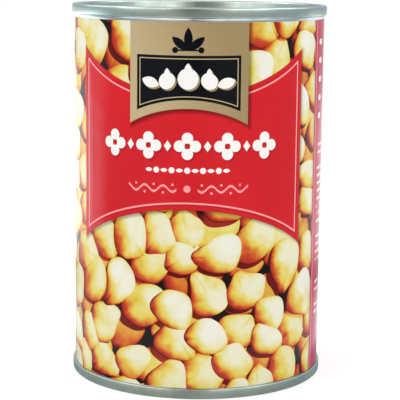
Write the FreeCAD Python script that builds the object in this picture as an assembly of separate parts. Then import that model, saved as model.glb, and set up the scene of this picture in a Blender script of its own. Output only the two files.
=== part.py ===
"""A shut steel food can: a tinplate body, two seamed-on ends and a wrapped paper label.

The can stands on its bottom seam. The origin is the centre of the base, at the level of that seam's crown,
with +Z up along the can's axis. The middle of the label's front faces -Y, and +X is to its right.
The can is shut, so its body is solid between the two ends: nothing inside it is modelled.

Every piece is worked out in the plane of a radius, as (radius, height) points, and turned about the axis.
"""

import FreeCAD, Part
import math
import os

# ---------------------------------------------------------------- driving dimensions, millimetres and degrees

CAN_HEIGHT = 110.5  # over both seams
BODY_DIAMETER = 73.9  # outside of the tinplate body
BODY_PLATE = 0.20  # thickness of the body's sheet
END_PLATE = 0.22  # thickness of each end's sheet

SEAM_OVERHANG = 0.90  # how far a seam stands out from the body's wall
SEAM_HEIGHT = 2.9  # from a seam's lower edge to its crown
SEAM_THICKNESS = 1.35  # across the crown, from the outer face to the chuck wall
SEAM_CROWN_RADIUS = 0.55  # rounding of the crown's two edges
SEAM_LIP_RADIUS = 0.40  # rounding of the edge next to the body

COUNTERSINK_DEPTH = 4.3  # from the crown down to the bottom of the groove round the panel
COUNTERSINK_WIDTH = 1.5  # across the groove, where it meets the chuck wall and the panel
CHUCK_WALL_LEAN = 4.0  # degrees that the chuck wall leans outwards

PANEL_DEPTH = 3.1  # from the crown down to the raised rings of the panel
RING_STEP = 0.65  # height of the step between raised and sunken rings
RING_STEP_WIDTH = 1.3  # radial width of one such step
RING_INSETS = (3.0, 6.6, 11.8, 19.0)  # where each step starts, inwards from the groove

LABEL_THICKNESS = 0.12  # paper
LABEL_TOP_GAP = 1.0  # bare tin between the label and the top seam
LABEL_BOTTOM_GAP = 0.15  # bare tin between the label and the bottom seam
LABEL_LAP = 8.0  # how far the label's end is glued over its start
LABEL_LAP_BEARING = 154.0  # degrees round from the front to the lap's free edge, towards +X first

# ---------------------------------------------------------------- sizes that follow from them

AXIS_FOOT = FreeCAD.Vector(0, 0, 0)
AXIS = FreeCAD.Vector(0, 0, 1)
ACROSS = FreeCAD.Vector(1, 0, 0)

BODY_RADIUS = BODY_DIAMETER / 2
BODY_BORE_RADIUS = BODY_RADIUS - BODY_PLATE
SEAM_RADIUS = BODY_RADIUS + SEAM_OVERHANG
CHUCK_RADIUS = SEAM_RADIUS - SEAM_THICKNESS
GROOVE_OUTER_RADIUS = CHUCK_RADIUS - COUNTERSINK_DEPTH * math.tan(math.radians(CHUCK_WALL_LEAN))
GROOVE_INNER_RADIUS = GROOVE_OUTER_RADIUS - COUNTERSINK_WIDTH
LABEL_RADIUS = BODY_RADIUS + LABEL_THICKNESS
LABEL_FOOT = SEAM_HEIGHT + LABEL_BOTTOM_GAP
LABEL_HEAD = CAN_HEIGHT - SEAM_HEIGHT - LABEL_TOP_GAP


def point(radius, height):
    """A point of a turned outline, in the XZ plane."""
    return FreeCAD.Vector(radius, 0, height)


def line(start, end):
    """A straight edge between two (radius, height) pairs."""
    return Part.LineSegment(point(*start), point(*end)).toShape()


def arc(centre, radius, start_angle, end_angle):
    """An arc about a (radius, height) centre, with its angles in degrees from the outward direction."""

    def on_arc(angle):
        turn = math.radians(angle)
        return point(centre[0] + radius * math.cos(turn), centre[1] + radius * math.sin(turn))

    middle = (start_angle + end_angle) / 2
    return Part.Arc(on_arc(start_angle), on_arc(middle), on_arc(end_angle)).toShape()


def step(start, width, rise):
    """An S-shaped step of two equal tangent arcs, level at both ends, going outwards from start."""
    radius = (width**2 + rise**2) / (4 * abs(rise))
    sweep = math.degrees(math.atan2(width / 2, radius - abs(rise) / 2))
    up = 1 if rise > 0 else -1
    first_centre = (start[0], start[1] + up * radius)
    second_centre = (start[0] + width, start[1] + rise - up * radius)
    first = arc(first_centre, radius, -90 * up, (sweep - 90) * up)
    second = arc(second_centre, radius, (90 + sweep) * up, 90 * up)
    return [first, second]


def panel_outline(drop):
    """The stamped panel from the axis out to the groove's outer wall, lowered by drop.

    Heights are from the crown of the seam, which is 0. Returns the edges and the outline's outer end.
    """
    raised = -PANEL_DEPTH - drop
    sunken = raised - RING_STEP
    groove = -COUNTERSINK_DEPTH - drop
    edges = []
    here = (0.0, raised)
    level, other = raised, sunken
    for inset in reversed(RING_INSETS):
        foot = (GROOVE_INNER_RADIUS - inset, level)
        edges.append(line(here, foot))
        edges += step(foot, RING_STEP_WIDTH, other - level)
        here = (foot[0] + RING_STEP_WIDTH, other)
        level, other = other, level
    lip = (GROOVE_INNER_RADIUS, level)
    edges.append(line(here, lip))
    edges += step(lip, COUNTERSINK_WIDTH / 2, groove - level)
    middle = (GROOVE_INNER_RADIUS + COUNTERSINK_WIDTH / 2, groove)
    return edges, middle


def turned(edges):
    """The solid that a closed outline makes when it is turned about the axis."""
    wire = Part.Wire(Part.__sortEdges__(edges))
    return Part.makeSolid(Part.Face(wire).revolve(AXIS_FOOT, AXIS, 360))


def stamped_end():
    """One end with its seam, the crown at height 0 and the panel sunk below it."""
    seam_foot = -SEAM_HEIGHT
    crown = SEAM_CROWN_RADIUS
    top, middle = panel_outline(0)
    under, under_middle = panel_outline(END_PLATE)
    groove_floor = (GROOVE_OUTER_RADIUS - END_PLATE, middle[1])
    groove_corner = (GROOVE_OUTER_RADIUS, middle[1] + END_PLATE)
    inner_crown = (CHUCK_RADIUS + crown, -crown)
    outer_crown = (SEAM_RADIUS - crown, -crown)
    lip_centre = (SEAM_RADIUS - SEAM_LIP_RADIUS, seam_foot + SEAM_LIP_RADIUS)
    outside = [
        line(middle, groove_floor),
        arc((groove_floor[0], groove_corner[1]), END_PLATE, -90, 0),
        line(groove_corner, (CHUCK_RADIUS, -crown)),
        arc(inner_crown, crown, 180, 90),
        line((inner_crown[0], 0), (outer_crown[0], 0)),
        arc(outer_crown, crown, 90, 0),
        line((SEAM_RADIUS, -crown), (SEAM_RADIUS, lip_centre[1])),
        arc(lip_centre, SEAM_LIP_RADIUS, 0, -90),
        line((lip_centre[0], seam_foot), (BODY_BORE_RADIUS, seam_foot)),
        line((BODY_BORE_RADIUS, seam_foot), (BODY_BORE_RADIUS, under_middle[1])),
        line((BODY_BORE_RADIUS, under_middle[1]), under_middle),
    ]
    axis_edge = line((0.0, -PANEL_DEPTH), (0.0, -PANEL_DEPTH - END_PLATE))
    return turned(top + outside + under + [axis_edge])


def body_half():
    """The upper half of the shut body, with its top shaped to the underside of the end that closes it."""
    half = CAN_HEIGHT / 2
    under, under_middle = panel_outline(END_PLATE)
    outline = under + [
        line(under_middle, (BODY_BORE_RADIUS, under_middle[1])),
        line((BODY_BORE_RADIUS, under_middle[1]), (BODY_BORE_RADIUS, -SEAM_HEIGHT)),
        line((BODY_BORE_RADIUS, -SEAM_HEIGHT), (BODY_RADIUS, -SEAM_HEIGHT)),
        line((BODY_RADIUS, -SEAM_HEIGHT), (BODY_RADIUS, -half)),
        line((BODY_RADIUS, -half), (0.0, -half)),
        line((0.0, -half), (0.0, -PANEL_DEPTH - END_PLATE)),
    ]
    return turned(outline)


def at_top(shape):
    """A shape drawn with the crown at height 0, moved to the top of the can."""
    return shape.translated(FreeCAD.Vector(0, 0, CAN_HEIGHT))


def at_bottom(shape):
    """The same shape turned over, with its crown at height 0 as the can's foot."""
    turned_over = shape.copy()
    turned_over.rotate(AXIS_FOOT, ACROSS, 180)
    return turned_over


def can_body():
    """The shut body between the two ends, as one solid."""
    half = body_half()
    return at_top(half).fuse(at_bottom(half)).removeSplitter()


def paper_sleeve(inner_radius, sweep):
    """A band of paper of the label's height, sweep degrees long, from the front towards +X."""
    height = LABEL_HEAD - LABEL_FOOT
    foot = FreeCAD.Vector(0, 0, LABEL_FOOT)
    outer = Part.makeCylinder(inner_radius + LABEL_THICKNESS, height, foot, AXIS, sweep)
    inner = Part.makeCylinder(inner_radius, height, foot, AXIS, sweep)
    band = outer.cut(inner)
    band.rotate(AXIS_FOOT, AXIS, -90)
    return band


def paper_label():
    """The label: one full wrap, and the lap at the back that is glued over its start."""
    wrap = paper_sleeve(BODY_RADIUS, 360)
    lap_sweep = math.degrees(LABEL_LAP / LABEL_RADIUS)
    lap = paper_sleeve(LABEL_RADIUS, lap_sweep)
    lap.rotate(AXIS_FOOT, AXIS, LABEL_LAP_BEARING)
    return wrap.fuse(lap).removeSplitter()


def build():
    """Makes every piece, checks that it is one sound solid, and writes its STEP file."""
    os.makedirs("parts", exist_ok=True)
    end = stamped_end()
    pieces = {
        "can_body": can_body(),
        "top_end": at_top(end),
        "bottom_end": at_bottom(end),
        "paper_label": paper_label(),
    }
    for name, shape in pieces.items():
        solid = shape.Solids[0]
        print(name, "solids", len(shape.Solids), "valid", solid.isValid(), "mm3", round(solid.Volume, 1))
        solid.exportStep(f"parts/{name}.step")


build()
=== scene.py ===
"""Looks of a shut steel food can: tinplate body, two double-seamed ends and a wrapped, printed label.

Everything is in metres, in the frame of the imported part: the base is centred on the origin, +Z is up
along the can's axis, and the middle of the label's front faces -Y. The label's print is drawn by node
groups that read the label's own map, in which U runs along the paper and V up it, in millimetres.
"""

import logging
import math
from dataclasses import dataclass
from enum import Enum
from typing import Callable, Sequence, Union

import bpy
from mathutils import Matrix, Vector


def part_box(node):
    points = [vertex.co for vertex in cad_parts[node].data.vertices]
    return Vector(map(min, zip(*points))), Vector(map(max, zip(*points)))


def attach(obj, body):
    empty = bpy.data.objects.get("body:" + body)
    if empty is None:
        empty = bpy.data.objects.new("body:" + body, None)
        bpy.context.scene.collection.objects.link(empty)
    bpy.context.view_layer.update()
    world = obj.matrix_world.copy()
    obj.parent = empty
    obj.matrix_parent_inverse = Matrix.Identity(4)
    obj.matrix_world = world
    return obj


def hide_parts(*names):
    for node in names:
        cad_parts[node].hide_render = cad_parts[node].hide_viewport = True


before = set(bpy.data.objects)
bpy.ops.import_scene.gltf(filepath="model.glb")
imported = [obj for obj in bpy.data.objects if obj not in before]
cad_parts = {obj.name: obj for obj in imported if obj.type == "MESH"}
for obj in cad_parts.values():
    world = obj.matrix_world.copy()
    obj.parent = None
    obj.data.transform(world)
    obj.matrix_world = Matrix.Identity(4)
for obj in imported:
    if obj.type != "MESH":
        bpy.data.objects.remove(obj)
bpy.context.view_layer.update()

MM = 0.001
BODY = "root"
LOG = logging.getLogger("food_can")

Point = tuple[float, float]
Span = tuple[float, float]
Colour = tuple[float, float, float, float]
Term = Union["Value", float]


# ------------------------------------------------------------------------------------------- colours


def ink(red: int, green: int, blue: int) -> Colour:
    """Turns a printer's 0 to 255 colour into the linear colour that nodes take.

    Args:
        red: Red, 0 to 255.
        green: Green, 0 to 255.
        blue: Blue, 0 to 255.

    Returns:
        The linear colour with full alpha.
    """

    def linear(share: float) -> float:
        """One channel, without its display curve."""
        return share / 12.92 if share <= 0.04045 else ((share + 0.055) / 1.055) ** 2.4

    return (linear(red / 255), linear(green / 255), linear(blue / 255), 1.0)


class Ink(Enum):
    """The inks and papers of the label."""

    RED = ink(214, 30, 40)
    RED_DEEP = ink(205, 28, 38)
    CRIMSON = ink(190, 20, 76)
    GOLD = ink(194, 174, 134)
    GOLD_DEEP = ink(160, 138, 98)
    BLACK = ink(6, 9, 17)
    ROSE = ink(250, 160, 160)
    WHITE = ink(246, 244, 240)
    CREAM = ink(240, 232, 214)
    PAPER = ink(236, 234, 228)


PEA_TONES: tuple[tuple[float, Colour], ...] = (
    (0.00, ink(20, 5, 8)),
    (0.09, ink(104, 16, 12)),
    (0.20, ink(188, 50, 30)),
    (0.33, ink(213, 112, 44)),
    (0.46, ink(221, 167, 64)),
    (0.58, ink(226, 201, 82)),
    (0.70, ink(228, 212, 118)),
    (0.84, ink(231, 226, 182)),
    (1.00, ink(237, 235, 222)),
)


# ------------------------------------------------------------------------------------------- shading values


class Value:
    """A number or colour that varies over a surface, held by a socket, with arithmetic that adds nodes."""

    def __init__(self, tree: bpy.types.NodeTree, socket: bpy.types.NodeSocket) -> None:
        """Keeps the tree that the nodes go into, and the socket that gives the value."""
        self.tree = tree
        self.socket = socket

    def math(self, operation: str, *others: Term) -> "Value":
        """Adds one Math node that starts from this value.

        Args:
            operation: The Math node's operation.
            others: The node's further inputs.

        Returns:
            The node's result.
        """
        return math_node(self.tree, operation, self, *others)

    def __add__(self, other: Term) -> "Value":
        """Sum."""
        return self.math("ADD", other)

    def __sub__(self, other: Term) -> "Value":
        """Difference."""
        return self.math("SUBTRACT", other)

    def __rsub__(self, other: float) -> "Value":
        """Difference from a plain number."""
        return math_node(self.tree, "SUBTRACT", other, self)

    def __mul__(self, other: Term) -> "Value":
        """Product."""
        return self.math("MULTIPLY", other)

    def __truediv__(self, other: Term) -> "Value":
        """Quotient."""
        return self.math("DIVIDE", other)

    def __neg__(self) -> "Value":
        """The same size with the other sign."""
        return self.math("MULTIPLY", -1.0)

    def __abs__(self) -> "Value":
        """Size without sign."""
        return self.math("ABSOLUTE")

    __radd__ = __add__
    __rmul__ = __mul__

    def least(self, other: Term) -> "Value":
        """The smaller of two."""
        return self.math("MINIMUM", other)

    def most(self, other: Term) -> "Value":
        """The larger of two."""
        return self.math("MAXIMUM", other)

    def root(self) -> "Value":
        """Square root."""
        return self.math("SQRT")

    def power(self, exponent: Term) -> "Value":
        """This to a power."""
        return self.math("POWER", exponent)

    def above(self, limit: Term) -> "Value":
        """1 where this is over the limit, and 0 elsewhere."""
        return self.math("GREATER_THAN", limit)

    def rise(self, low: Term, high: Term) -> "Value":
        """Eases from 0 at low to 1 at high.

        Args:
            low: Where the result is 0.
            high: Where the result is 1.

        Returns:
            The eased share.
        """
        node = self.tree.nodes.new("ShaderNodeMapRange")
        node.interpolation_type = "SMOOTHSTEP"
        for name, term in (("Value", self), ("From Min", low), ("From Max", high)):
            plug(self.tree, term, node.inputs[name])
        return Value(self.tree, node.outputs["Result"])


def plug(tree: bpy.types.NodeTree, term: Term, socket: bpy.types.NodeSocket) -> None:
    """Links a value to a socket, or sets a plain number or colour on it.

    Args:
        tree: The tree that the link goes into.
        term: The value, number or colour.
        socket: The input that gets it.
    """
    if isinstance(term, Value):
        tree.links.new(term.socket, socket)
    else:
        socket.default_value = term


def math_node(tree: bpy.types.NodeTree, operation: str, *terms: Term) -> Value:
    """Adds one Math node.

    Args:
        tree: The tree that the node goes into.
        operation: The Math node's operation.
        terms: Its inputs, in order.

    Returns:
        The node's result.
    """
    node = tree.nodes.new("ShaderNodeMath")
    node.operation = operation
    for term, socket in zip(terms, node.inputs):
        plug(tree, term, socket)
    return Value(tree, node.outputs[0])


def length(x: Value, y: Value) -> Value:
    """Distance of a point from the origin of its plane."""
    return (x * x + y * y).root()


def vector(tree: bpy.types.NodeTree, x: Term, y: Term, z: Term) -> Value:
    """Joins three numbers into a vector.

    Args:
        tree: The tree that the node goes into.
        x: The first number.
        y: The second.
        z: The third.

    Returns:
        The vector.
    """
    node = tree.nodes.new("ShaderNodeCombineXYZ")
    for term, socket in zip((x, y, z), node.inputs):
        plug(tree, term, socket)
    return Value(tree, node.outputs[0])


def parts(source: Value) -> tuple[Value, Value, Value]:
    """Splits a vector into its three numbers.

    Args:
        source: The vector.

    Returns:
        The numbers, in order.
    """
    node = source.tree.nodes.new("ShaderNodeSeparateXYZ")
    plug(source.tree, source, node.inputs[0])
    return tuple(Value(source.tree, socket) for socket in node.outputs)


class Mixed(Enum):
    """What a Mix node mixes: its data type, and the numbers of its two inputs and its output."""

    COLOURS = ("RGBA", 6, 7, 2)
    VECTORS = ("VECTOR", 4, 5, 1)


def blend(
    share: Term, first: Term, second: Term, tree: bpy.types.NodeTree, mixed: Mixed = Mixed.COLOURS
) -> Value:
    """Mixes two colours or vectors.

    Args:
        share: 0 for the first, 1 for the second.
        first: The colour or vector at 0.
        second: The colour or vector at 1.
        tree: The tree that the node goes into.
        mixed: Whether they are colours or vectors.

    Returns:
        The mixture.
    """
    data_type, first_input, second_input, output = mixed.value
    node = tree.nodes.new("ShaderNodeMix")
    node.data_type = data_type
    plug(tree, share, node.inputs[0])
    plug(tree, first, node.inputs[first_input])
    plug(tree, second, node.inputs[second_input])
    return Value(tree, node.outputs[output])


def darken(colour: Value, share: Term) -> Value:
    """Multiplies a colour by a number.

    Args:
        colour: The colour.
        share: 1 leaves it as it is, and 0 makes it black.

    Returns:
        The darker colour.
    """
    node = colour.tree.nodes.new("ShaderNodeVectorMath")
    node.operation = "SCALE"
    plug(colour.tree, colour, node.inputs[0])
    plug(colour.tree, share, node.inputs["Scale"])
    return Value(colour.tree, node.outputs[0])


def ramp(share: Value, stops: Sequence[tuple[float, Colour]]) -> Value:
    """Looks a number up on a row of colours.

    Args:
        share: The number, 0 to 1.
        stops: Places and colours, in order.

    Returns:
        The colour at that place.
    """
    node = share.tree.nodes.new("ShaderNodeValToRGB")
    elements = node.color_ramp.elements
    for _ in range(len(stops) - len(elements)):
        elements.new(0.5)
    for element, (place, colour) in zip(elements, stops):
        element.position = place
        element.color = colour
    plug(share.tree, share, node.inputs[0])
    return Value(share.tree, node.outputs[0])


def noise(at: Value, scale: float, detail: float = 2.0, roughness: float = 0.5) -> Value:
    """Soft random variation.

    Args:
        at: The place, as a vector.
        scale: How many blotches there are to one unit of the place.
        detail: How many finer layers are added.
        roughness: How strong the finer layers are.

    Returns:
        The variation, about 0.5 on average.
    """
    node = at.tree.nodes.new("ShaderNodeTexNoise")
    plug(at.tree, at, node.inputs["Vector"])
    node.inputs["Scale"].default_value = scale
    node.inputs["Detail"].default_value = detail
    node.inputs["Roughness"].default_value = roughness
    return Value(at.tree, node.outputs["Fac"])


def chance(at: Value) -> tuple[Value, Value, Value, Value]:
    """Four independent random numbers that stay the same wherever the vector is the same.

    Args:
        at: The vector.

    Returns:
        The numbers, each from 0 to 1.
    """
    node = at.tree.nodes.new("ShaderNodeTexWhiteNoise")
    node.noise_dimensions = "3D"
    plug(at.tree, at, node.inputs["Vector"])
    colour = Value(at.tree, node.outputs["Color"])
    return (Value(at.tree, node.outputs["Value"]), *parts(colour))


class Kind(Enum):
    """The kinds of socket that a group has."""

    NUMBER = "NodeSocketFloat"
    VECTOR = "NodeSocketVector"
    COLOUR = "NodeSocketColor"


class Group:
    """A shader node group with named inputs and outputs, built once and placed wherever it is used."""

    def __init__(self, name: str, takes: dict[str, Kind], gives: dict[str, Kind]) -> None:
        """Makes the empty group and its sockets.

        Args:
            name: The group's name.
            takes: Input names with their kinds.
            gives: Output names with their kinds.
        """
        self.tree = bpy.data.node_groups.new(name, "ShaderNodeTree")
        for names, side in ((takes, "INPUT"), (gives, "OUTPUT")):
            for label, kind in names.items():
                self.tree.interface.new_socket(label, in_out=side, socket_type=kind.value)
        start = self.tree.nodes.new("NodeGroupInput")
        self.end = self.tree.nodes.new("NodeGroupOutput")
        self.given = {label: Value(self.tree, start.outputs[label]) for label in takes}

    def give(self, **results: Term) -> None:
        """Connects results to the outputs of the same names."""
        for label, term in results.items():
            plug(self.tree, term, self.end.inputs[label])

    def place(self, tree: bpy.types.NodeTree, **terms: Term) -> dict[str, Value]:
        """Uses the group in a tree.

        Args:
            tree: The tree that the group is placed in.
            terms: What its inputs get, by name.

        Returns:
            Its outputs by name.
        """
        node = tree.nodes.new("ShaderNodeGroup")
        node.node_tree = self.tree
        for label, term in terms.items():
            plug(tree, term, node.inputs[label])
        return {socket.name: Value(tree, socket) for socket in node.outputs}


def numbers(*names: str) -> dict[str, Kind]:
    """Names of sockets that all hold plain numbers."""
    return dict.fromkeys(names, Kind.NUMBER)


# ------------------------------------------------------------------------------------------- printed shapes


def disc(x: Value, y: Value, radius: float) -> Value:
    """How far a point is outside a disc at the origin."""
    return length(x, y) - radius


def leaf(x: Value, y: Value, half_length: float, half_width: float) -> Value:
    """How far a point is outside a leaf shape that lies along x.

    Args:
        x: The point's place along the leaf.
        y: The point's place across it.
        half_length: Half the leaf's length, tip to tip.
        half_width: Half its width at the middle.

    Returns:
        The distance, below 0 inside.
    """
    radius = (half_length**2 + half_width**2) / (2 * half_width)
    return length(x, abs(y) + (radius - half_width)) - radius


def bar(x: Value, y: Value, half_length: float, half_width: float) -> Value:
    """How far a point is outside a bar with round ends that lies along x."""
    return length((abs(x) - (half_length - half_width)).most(0.0), y) - half_width


def turned(x: Value, y: Value, degrees: float) -> tuple[Value, Value]:
    """A point's place in axes that are turned counter-clockwise by some degrees."""
    turn = math.radians(degrees)
    return x * math.cos(turn) + y * math.sin(turn), y * math.cos(turn) - x * math.sin(turn)


def repeated(x: Value, pitch: float, each_side: int) -> Value:
    """Folds x so that what is drawn at 0 repeats.

    Args:
        x: The place along the row.
        pitch: From one copy to the next.
        each_side: How many copies stand on each side of the middle one.

    Returns:
        The place seen from the nearest copy.
    """
    nearest = (x / pitch).math("ROUND").most(-each_side).least(each_side)
    return x - nearest * pitch


def printed(distance: Value, soft: float = 0.05) -> Value:
    """Ink coverage of a shape from the distance outside it, with a slightly soft edge."""
    return distance.rise(soft, -soft)


PEA_RESULTS = {"Height": Kind.NUMBER, "Facing": Kind.VECTOR, "Marks": Kind.VECTOR}


@dataclass(frozen=True)
class PrintedPea:
    """One cooked pea as the print shows it: rounded, a little lobed, most with a beak and a fold.

    Lengths are shares of the side of the square that holds the pea, and outlines are shares of its radius.
    """

    # how far a pea may lie from the middle of its square, both ways together
    wander: float = 0.46
    smallest: float = 0.50
    largest: float = 0.63
    # stretch along the beak: that of the shortest pea, and what the longest has more
    shortest: float = 0.97
    lengthening: float = 0.13
    beak_sharpness: float = 15.0
    beak_least: float = 0.04
    beak_growth: float = 0.26
    waist: float = 0.09
    lobe_least: float = 0.01
    lobe_growth: float = 0.035
    skew: float = 0.22
    ripple: float = 0.026
    groove_half_width: float = 0.17
    fold_run: Span = (-0.10, 0.60)
    # peas with a chance number over this have a fold
    folded_over: float = 0.35
    dome: float = 0.6
    # how much higher one pea may lie than another
    depths: float = 0.55
    # added to every height, so that 0 means that no pea is there
    floor: float = 5.0

    def group(self) -> Group:
        """Builds the pea of one square of the layout.

        Returns:
            A group that gives the pea's height at a point, its facing there, and its marks: its tone,
            the fold and the share of the way out to the rim.
        """
        group = Group("printed_pea", numbers("X", "Y", "Column", "Row", "Seed"), PEA_RESULTS)
        tree, given = group.tree, group.given
        row = given["Y"].math("FLOOR") + given["Row"]
        brick = row * 0.5 - (row * 0.5).math("FLOOR")
        column = (given["X"] - brick).math("FLOOR") + given["Column"]
        turn, shift_x, shift_y, bulk = chance(vector(tree, column, row, given["Seed"]))
        tone, depth, slim, split = chance(vector(tree, row, column, given["Seed"] + 7.3))
        away_x = given["X"] - brick - column - 0.5 - (shift_x - 0.5) * self.wander
        away_y = given["Y"] - row - 0.5 - (shift_y - 0.5) * self.wander
        angle = turn * math.tau
        cosine, sine = angle.math("COSINE"), angle.math("SINE")
        radius = bulk * (self.largest - self.smallest) + self.smallest
        stretch = slim * self.lengthening + self.shortest
        along = (away_x * cosine + away_y * sine) / (radius * stretch)
        across = (away_y * cosine - away_x * sine) * stretch / radius
        reach = length(along, across).most(0.001)
        heading, side = along / reach, across / reach
        beak = heading.most(0.0).power(self.beak_sharpness) * (split * self.beak_growth + self.beak_least)
        waist = heading * heading * self.waist
        # the cosine of three times the heading's angle, which makes three lobes
        threefold = heading * heading * heading * 4.0 - heading * 3.0
        lobes = threefold * (depth * self.lobe_growth + self.lobe_least)
        skew = heading * side * (slim - 0.5) * self.skew
        ripple = (heading * 5.0 + tone * 6.0).math("SINE") * side * self.ripple
        outline = reach / (beak + lobes + skew + ripple - waist + 1.0)
        swell = (1.0 - outline * outline).most(0.0).root()
        height = depth * self.depths + swell * radius * self.dome
        scale = radius * (beak + 1.0)
        groove = (1.0 - (abs(across) / self.groove_half_width)).most(0.0)
        fold = groove * groove * along.rise(*self.fold_run) * split.above(self.folded_over)
        group.give(
            Height=(height + self.floor) * outline.math("LESS_THAN", 1.0),
            Facing=vector(tree, away_x / scale, away_y / scale, swell),
            Marks=vector(tree, tone, fold, outline),
        )
        return group


@dataclass(frozen=True)
class PeaHeap:
    """A heap of cooked peas, printed all over the paper behind the other fields.

    Attributes:
        pitch: Side of the square that holds one pea, in millimetres.
        lean: Turn of the rows of squares, in degrees.
        sway: How far the rows are bent out of line, in millimetres.
        dent: Depth of the dents in a pea's skin, as a share of its light.
        shadow: How far to the left and down a pea's shadow falls, in millimetres.
        shadow_step: How much higher a neighbour stands where its shadow starts, and where it is full.
        upper_shadow: Share of the light that the shadow takes from the upper layer.
        lower_shadow: Share that it takes from the lower one.
        sinking: How much deeper the lower layer lies, as a share of the pitch.
        upper_seed: Seed of the upper layer's chance numbers.
        lower_seed: Seed of the lower layer's.
        lower_shift: How far the lower layer is moved against the upper one, as a share of the pitch.
        light: How strongly the printed light comes from the right, from above and from the front.
        lit_run: The light at which a pea is darkest, and the light at which it is palest.
        fold_shade: How much darker a fold is, on the row of pea tones.
        rim_shade: How much darker the rim is on its dark side.
    """

    pitch: float = 10.9
    lean: float = 17.0
    sway: float = 12.0
    dent: float = 2.3
    shadow: Point = (1.0, 0.9)
    shadow_step: Span = (0.12, 0.55)
    upper_shadow: float = 0.50
    lower_shadow: float = 0.80
    sinking: float = 0.25
    upper_seed: float = 3.0
    lower_seed: float = 41.0
    lower_shift: Point = (0.5, 0.47)
    light: tuple[float, float, float] = (0.54, 0.37, 0.72)
    lit_run: Span = (-0.62, 1.04)
    fold_shade: float = 0.14
    rim_shade: float = 0.10

    def layer_group(self) -> Group:
        """One layer of the heap: of the nine peas that can reach a point, the highest.

        Returns:
            A group that gives the height, facing and marks of the pea on top.
        """
        pea = PrintedPea().group()
        group = Group("pea_layer", numbers("X", "Y", "Seed"), PEA_RESULTS)
        tree, given = group.tree, group.given
        best: dict[str, Value] = {}
        for column in (-1, 0, 1):
            for row in (-1, 0, 1):
                place = {"Column": float(column), "Row": float(row)}
                found = pea.place(tree, X=given["X"], Y=given["Y"], Seed=given["Seed"], **place)
                if best:
                    over = found["Height"].above(best["Height"])
                    for mark in ("Facing", "Marks"):
                        found[mark] = blend(over, best[mark], found[mark], tree, Mixed.VECTORS)
                    found["Height"] = found["Height"].most(best["Height"])
                best = found
        group.give(**best)
        return group

    def group(self) -> Group:
        """The whole heap: a lit layer of peas over a deeper, darker one.

        Returns:
            A group that gives the printed colour, and its place on the row of pea tones.
        """
        layer = self.layer_group()
        group = Group("pea_heap", numbers("X", "Y"), {"Colour": Kind.COLOUR, "Tone": Kind.NUMBER})
        tree, given = group.tree, group.given
        place = vector(tree, given["X"], given["Y"], 0.0)
        sway_x = (noise(place, 0.035) - 0.5) * self.sway
        sway_y = (noise(place, 0.031, 2.0, 0.3) - 0.5) * self.sway
        bent_x, bent_y = given["X"] + sway_x, given["Y"] + sway_y
        x, y = turned(bent_x, bent_y, self.lean)
        top = layer.place(tree, X=x / self.pitch, Y=y / self.pitch, Seed=self.upper_seed)
        lower_x, lower_y = x / self.pitch + self.lower_shift[0], y / self.pitch + self.lower_shift[1]
        below = layer.place(tree, X=lower_x, Y=lower_y, Seed=self.lower_seed)
        x, y = turned(bent_x + self.shadow[0], bent_y + self.shadow[1], self.lean)
        above = layer.place(tree, X=x / self.pitch, Y=y / self.pitch, Seed=self.upper_seed)
        covered = top["Height"].above(1.0)
        step = above["Height"] - top["Height"].most(PrintedPea.floor - self.sinking)
        shadow = step.rise(*self.shadow_step)
        upper = self.lit(top, place, self.upper_shade) * (1.0 - shadow * self.upper_shadow)
        lower = self.lit(below, place, self.lower_shade) * (1.0 - shadow * self.lower_shadow)
        tone = covered * upper + (1.0 - covered) * lower
        group.give(Colour=ramp(tone, PEA_TONES), Tone=tone)
        return group

    def lit(self, layer: dict[str, Value], place: Value, shade: Callable[..., Value]) -> Value:
        """How light one layer is printed.

        Args:
            layer: The layer's height, facing and marks.
            place: The point of the print, for the uneven skin.
            shade: The layer's own way from light to tone.

        Returns:
            The place on the row of pea tones.
        """
        tree = place.tree
        lean = math.radians(self.lean)
        across, up, out = parts(layer["Facing"])
        tone, fold, edge = parts(layer["Marks"])
        skin_x, skin_y, _ = parts(place)
        skin = vector(tree, skin_x + tone * 90.0, skin_y, tone * 40.0)
        dent = (noise(skin, 0.17, 3.0, 0.50) - 0.5) * self.dent
        dent_too = (noise(skin, 0.14, 3.0, 0.45) - 0.5) * self.dent
        rightward = across * math.cos(lean) - up * math.sin(lean) + dent
        upward = up * math.cos(lean) + across * math.sin(lean) + dent_too
        light = rightward * self.light[0] + upward * self.light[1] + out * self.light[2]
        plateau = light.rise(*self.lit_run)
        level = (layer["Height"] - PrintedPea.floor).rise(0.0, 0.8)
        rim = edge.rise(0.90, 1.0) * (0.62 - light).rise(0.0, 0.6)
        marked = shade(plateau, level, tone) - fold * self.fold_shade - rim * self.rim_shade
        return marked * layer["Height"].above(1.0)

    def upper_shade(self, plateau: Value, level: Value, tone: Value) -> Value:
        """Tone of the upper layer, which is never quite dark."""
        return (plateau * 0.90 - 0.03 + level * 0.08 + (tone - 0.5) * 0.14).most(plateau * 0.25 + 0.16)

    def lower_shade(self, plateau: Value, level: Value, tone: Value) -> Value:
        """Tone of the lower layer, darker and more uneven."""
        return (plateau * 0.64 + (tone - 0.5) * 0.36) * (level * 0.4 + 0.6)


# ------------------------------------------------------------------------------------------- meshes


def bare_selection() -> None:
    """Leaves nothing selected and no object in edit mode."""
    if bpy.context.object and bpy.context.object.mode != "OBJECT":
        bpy.ops.object.mode_set(mode="OBJECT")
    bpy.ops.object.select_all(action="DESELECT")


def take_up(piece: bpy.types.Object) -> None:
    """Selects one piece alone and makes it the active one.

    Args:
        piece: The piece.
    """
    bare_selection()
    piece.select_set(True)
    bpy.context.view_layer.objects.active = piece


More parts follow.
